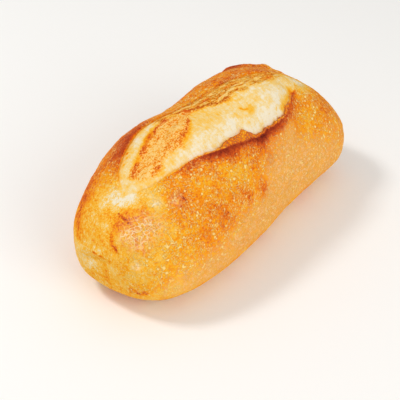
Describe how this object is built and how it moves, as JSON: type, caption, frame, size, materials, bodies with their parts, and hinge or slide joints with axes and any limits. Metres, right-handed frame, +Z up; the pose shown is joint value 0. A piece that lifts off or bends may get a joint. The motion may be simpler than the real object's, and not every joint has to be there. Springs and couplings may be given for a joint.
{
  "type": "sourdough batard",
  "caption": "Whole oval loaf of crusty bread, narrower at one end, with a long slash opened into a raised ear over pale crumb.",
  "frame": {"origin": "middle of the loaf's outline seen from above, on the plane that it rests on", "axes": "+X along the loaf towards its broad end, -Y to the side that the ear faces, +Z up"},
  "size_m": [0.2822, 0.1382, 0.1185],
  "materials": {
    "crust": "matt baked crust, golden orange, darker on the ear, with cream crumb in the slash"
  },
  "bodies": {
    "root": {"loaf": "crust"}
  },
  "joints": []
}
